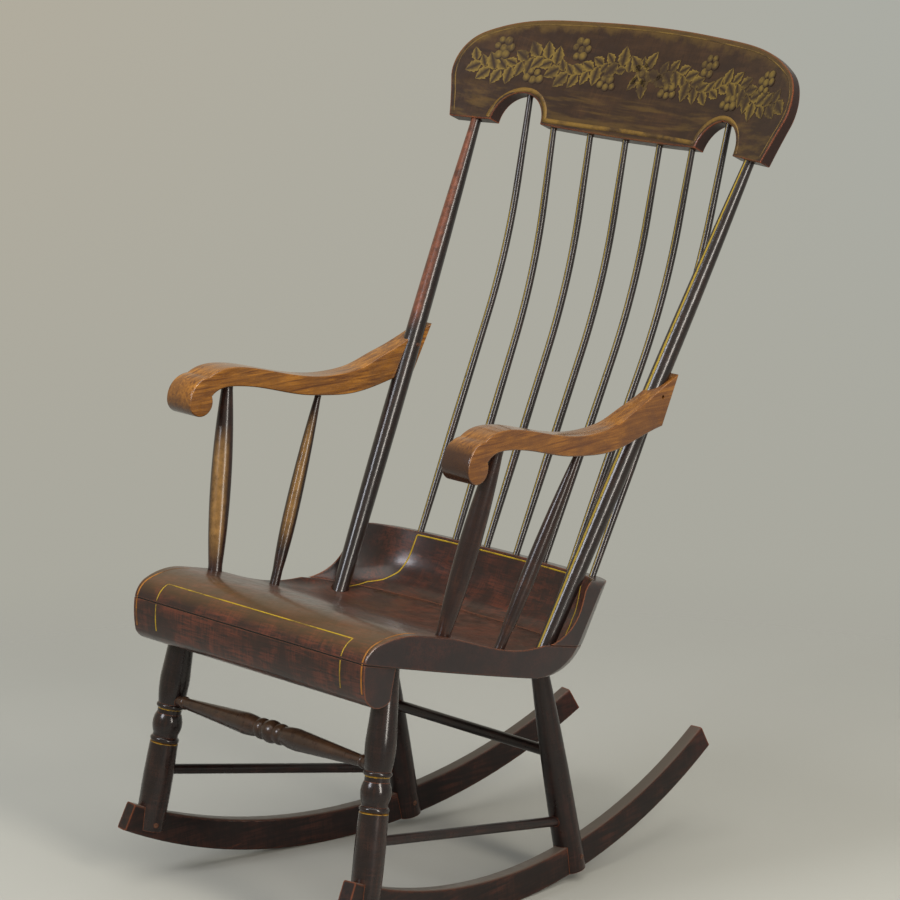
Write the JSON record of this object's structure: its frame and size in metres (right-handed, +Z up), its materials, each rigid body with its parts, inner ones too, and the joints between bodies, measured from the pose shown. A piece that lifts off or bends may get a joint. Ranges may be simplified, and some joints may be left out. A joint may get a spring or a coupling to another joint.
{
  "type": "boston rocking chair",
  "caption": "Wooden rocking chair: scooped plank seat with a rolled front, bent spindle back under a deep crest board, scrolled arms, turned legs and two slim bowed rockers.",
  "frame": {"origin": "on the floor, on the mirror plane, halfway between the foremost and the rearmost point of the rockers", "axes": "+X to the right of a person who stands before the chair and faces it, +Y towards the back, +Z up"},
  "size_m": [0.6408, 0.7766, 1.0914],
  "materials": {
    "grained_paint": "pine and maple under rosewood-grained paint and old varnish, with yellow pinstripes",
    "dark_paint": "turned maple under dark brown glossy paint with a thin yellow line",
    "worn_paint": "dark paint rubbed through to amber wood",
    "bare_arm_wood": "red-brown hardwood, oiled and polished by hands",
    "decorated_crest": "dark brown paint with a bronze stencilled pattern under varnish",
    "peg_wood": "dark wooden pegs"
  },
  "bodies": {
    "root": {"seat_plank": "grained_paint", "seat_front_roll": "grained_paint", "seat_back_riser": "grained_paint", "crest_rail": "decorated_crest", "crest_pegs": "peg_wood", "left_post": "dark_paint", "right_post": "dark_paint", "spindle_1": "dark_paint", "spindle_2": "dark_paint", "spindle_3": "dark_paint", "spindle_4": "dark_paint", "spindle_5": "dark_paint", "spindle_6": "dark_paint", "spindle_7": "dark_paint", "left_arm": "bare_arm_wood", "right_arm": "bare_arm_wood", "arm_pegs": "peg_wood", "left_front_stump": "worn_paint", "right_front_stump": "worn_paint", "left_arm_spindle": "worn_paint", "right_arm_spindle": "worn_paint", "left_front_leg": "grained_paint", "right_front_leg": "grained_paint", "left_rear_leg": "grained_paint", "right_rear_leg": "grained_paint", "front_stretcher": "worn_paint", "rear_stretcher": "grained_paint", "left_side_stretcher": "grained_paint", "right_side_stretcher": "grained_paint", "left_rocker": "grained_paint", "right_rocker": "grained_paint", "rocker_pegs": "peg_wood"}
  },
  "joints": []
}
